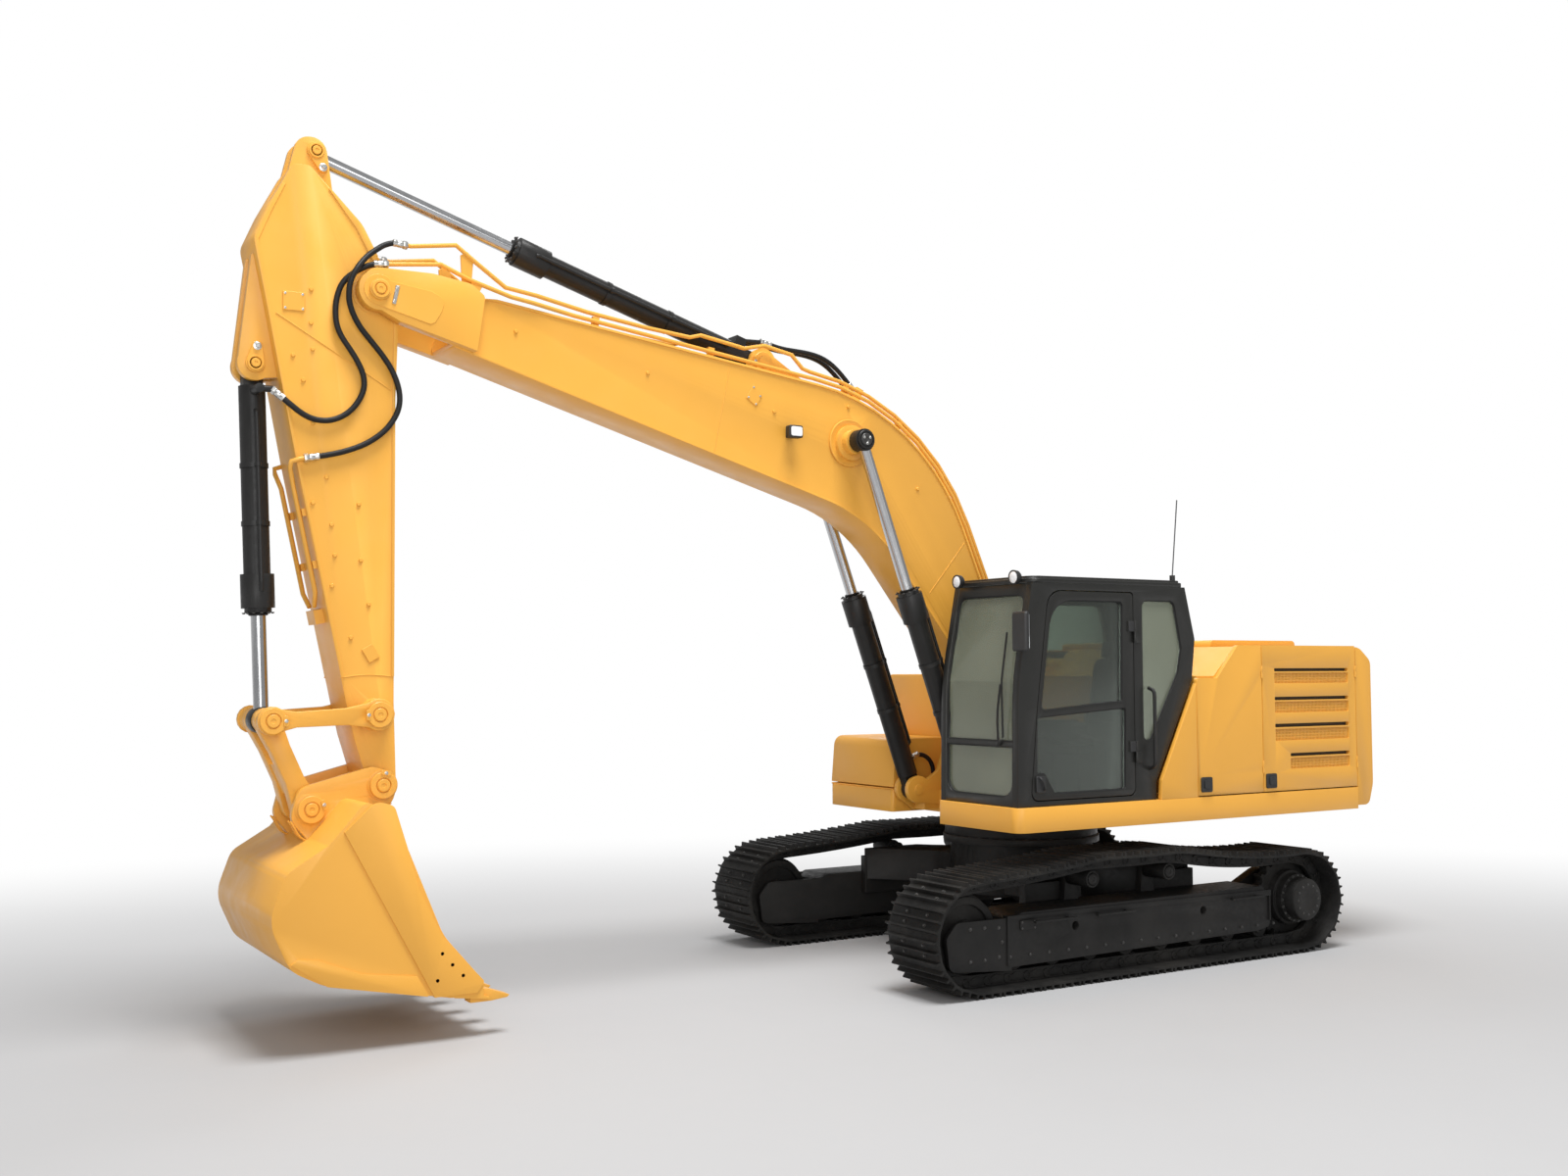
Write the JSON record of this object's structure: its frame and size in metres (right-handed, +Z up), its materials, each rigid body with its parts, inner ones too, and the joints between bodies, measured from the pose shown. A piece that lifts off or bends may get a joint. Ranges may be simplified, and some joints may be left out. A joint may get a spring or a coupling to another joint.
{
  "type": "crawler excavator",
  "caption": "Crawler excavator with slewing upper frame, glazed cab, cranked boom, stick and toothed bucket worked by hydraulic cylinders, on two steel tracks.",
  "frame": {"origin": "middle of the bounding box on the ground", "axes": "+X forward along the boom, +Y to the cab side, +Z up"},
  "size_m": [9.6518, 3.19, 5.8805],
  "materials": {
    "yellow_paint": "semi-gloss machine yellow",
    "dark_paint": "satin black",
    "track_steel": "dark worn steel",
    "counterweight_paint": "semi-gloss machine yellow",
    "engine_iron": "plain",
    "glass": "green-grey tint",
    "chrome_rod": "polished",
    "black_plastic": "grained",
    "seat_cloth": "woven",
    "hose_rubber": "matt",
    "cab_paint": "satin dark grey"
  },
  "bodies": {
    "undercarriage": {"car_body": "dark_paint", "track_frame_left": "dark_paint", "track_frame_right": "dark_paint", "track_left": "track_steel", "track_right": "track_steel", "idlers": "track_steel", "sprockets": "track_steel", "track_rollers": "track_steel", "carrier_rollers": "track_steel", "swing_bearing": "dark_paint"},
    "upper_frame": {"main_frame": "yellow_paint", "counterweight": "counterweight_paint", "engine_block": "engine_iron", "bulkheads": "yellow_paint", "side_panel": "yellow_paint", "top_cover": "yellow_paint", "hydraulic_tank": "yellow_paint", "fuel_tank": "yellow_paint", "storage_box": "yellow_paint", "cab_floor": "black_plastic", "cab_front": "cab_paint", "cab_left_wall": "cab_paint", "cab_right_wall": "cab_paint", "cab_rear_wall": "cab_paint", "cab_roof": "cab_paint", "cab_windows": "glass", "seat": "seat_cloth", "consoles": "black_plastic", "cab_lamps": "black_plastic", "side_mirror": "black_plastic", "antenna": "black_plastic", "boom_cylinder_hose_left": "hose_rubber", "boom_cylinder_hose_right": "hose_rubber"},
    "cab_door": {"cab_door": "cab_paint", "door_glass": "glass"},
    "service_door": {"service_door": "yellow_paint"},
    "cooling_door": {"cooling_door": "yellow_paint"},
    "pump_door": {"pump_door": "yellow_paint"},
    "engine_hood": {"engine_hood": "yellow_paint"},
    "boom": {"boom": "yellow_paint", "boom_pipes": "yellow_paint", "boom_lamp": "black_plastic", "stick_hose_upper": "hose_rubber", "stick_hose_lower": "hose_rubber", "stick_hose_right": "hose_rubber", "stick_cylinder_hose_left": "hose_rubber", "stick_cylinder_hose_right": "hose_rubber"},
    "boom_cylinder_barrels": {"boom_cylinder_barrels": "dark_paint"},
    "boom_cylinder_rods": {"boom_cylinder_rods": "chrome_rod"},
    "stick": {"stick": "yellow_paint", "stick_pipes": "yellow_paint"},
    "stick_cylinder_barrel": {"stick_cylinder_barrel": "dark_paint"},
    "stick_cylinder_rod": {"stick_cylinder_rod": "chrome_rod"},
    "bucket": {"bucket": "yellow_paint"},
    "rocker": {"rocker": "yellow_paint"},
    "bucket_link": {"bucket_link": "yellow_paint"},
    "bucket_cylinder_barrel": {"bucket_cylinder_barrel": "dark_paint"},
    "bucket_cylinder_rod": {"bucket_cylinder_rod": "chrome_rod"}
  },
  "joints": [
    {"name": "swing", "type": "hinge", "parent": "undercarriage", "child": "upper_frame", "pos_m": [-1.72091, 0, 1], "axis": [0, 0, 1], "continuous": true},
    {"name": "boom_lift", "type": "hinge", "parent": "upper_frame", "child": "boom", "pos_m": [-1.47091, 0, 2], "axis": [0, -1, 0], "range_deg": [-68, 32]},
    {"name": "stick_pivot", "type": "hinge", "parent": "boom", "child": "stick", "pos_m": [3.97103, 0, 4.86921], "axis": [0, 1, 0], "range_deg": [-80, 35.8], "deforming": ["stick_hose_upper", "stick_hose_lower", "stick_hose_right"]},
    {"name": "bucket_curl", "type": "hinge", "parent": "stick", "child": "bucket", "pos_m": [3.90826, 0, 1.59981], "axis": [0, -1, 0], "range_deg": [-105, 62]},
    {"name": "boom_cylinder_tilt", "type": "hinge", "parent": "upper_frame", "child": "boom_cylinder_barrels", "pos_m": [-0.86091, 0, 1.33], "axis": [0, -1, 0], "range_deg": [-66.15, 32.19], "deforming": ["boom_cylinder_hose_left", "boom_cylinder_hose_right"]},
    {"name": "boom_rod_slide", "type": "slide", "parent": "boom_cylinder_barrels", "child": "boom_cylinder_rods", "axis": [0.3445, 0, 0.9388], "range_m": [-0.9878, 0.4754]},
    {"name": "stick_cylinder_tilt", "type": "hinge", "parent": "boom", "child": "stick_cylinder_barrel", "pos_m": [0.89651, 0, 4.72912], "axis": [0, -1, 0], "range_deg": [-5.33, 9.44], "deforming": ["stick_cylinder_hose_left", "stick_cylinder_hose_right"]},
    {"name": "stick_rod_slide", "type": "slide", "parent": "stick_cylinder_barrel", "child": "stick_cylinder_rod", "axis": [0.9559, 0, 0.2938], "range_m": [-1.2063, 0.5509]},
    {"name": "rocker_pivot", "type": "hinge", "parent": "stick", "child": "rocker", "pos_m": [3.94614, 0, 2.06217], "axis": [0, -1, 0], "range_deg": [-71.25, 42.89]},
    {"name": "link_pivot", "type": "hinge", "parent": "bucket", "child": "bucket_link", "pos_m": [4.37088, 0, 1.46453], "axis": [0, -1, 0], "range_deg": [-46.14, 76.76]},
    {"name": "bucket_cylinder_tilt", "type": "hinge", "parent": "stick", "child": "bucket_cylinder_barrel", "pos_m": [4.72091, 0, 4.33472], "axis": [0, -1, 0], "range_deg": [-4.48, 3.46]},
    {"name": "bucket_rod_slide", "type": "slide", "parent": "bucket_cylinder_barrel", "child": "bucket_cylinder_rod", "axis": [-0.041, 0, -0.9992], "range_m": [-0.4521, 0.7518]},
    {"name": "cab_door_hinge", "type": "hinge", "parent": "upper_frame", "child": "cab_door", "pos_m": [-1.67091, 1.458, 1.42], "axis": [0, 0, 1], "range_deg": [0, 100]},
    {"name": "service_door_hinge", "type": "hinge", "parent": "upper_frame", "child": "service_door", "pos_m": [-3.07091, 1.48, 1.9], "axis": [0, 0, 1], "range_deg": [0, 100]},
    {"name": "cooling_door_hinge", "type": "hinge", "parent": "upper_frame", "child": "cooling_door", "pos_m": [-4.24191, 1.48, 1.9], "axis": [0, 0, 1], "range_deg": [0, 100]},
    {"name": "pump_door_hinge", "type": "hinge", "parent": "upper_frame", "child": "pump_door", "pos_m": [-4.24191, -1.48, 1.9], "axis": [0, 0, -1], "range_deg": [0, 100]},
    {"name": "hood_hinge", "type": "hinge", "parent": "upper_frame", "child": "engine_hood", "pos_m": [-4.20691, 0, 2.532], "axis": [0, -1, 0], "range_deg": [0, 60]}
  ],
  "couplings": [
    {"joint": "boom_cylinder_tilt", "follows": "boom_lift", "ratio": 0.94334},
    {"joint": "boom_rod_slide", "follows": "boom_lift", "m_per_rad": 0.81547},
    {"joint": "stick_cylinder_tilt", "follows": "stick_pivot", "ratio": -0.09295},
    {"joint": "stick_rod_slide", "follows": "stick_pivot", "m_per_rad": 0.84965},
    {"joint": "rocker_pivot", "follows": "bucket_curl", "ratio": 0.6595},
    {"joint": "link_pivot", "follows": "bucket_curl", "ratio": -0.712},
    {"joint": "bucket_cylinder_tilt", "follows": "bucket_curl", "ratio": 0.0236},
    {"joint": "bucket_rod_slide", "follows": "bucket_curl", "m_per_rad": -0.3993}
  ]
}
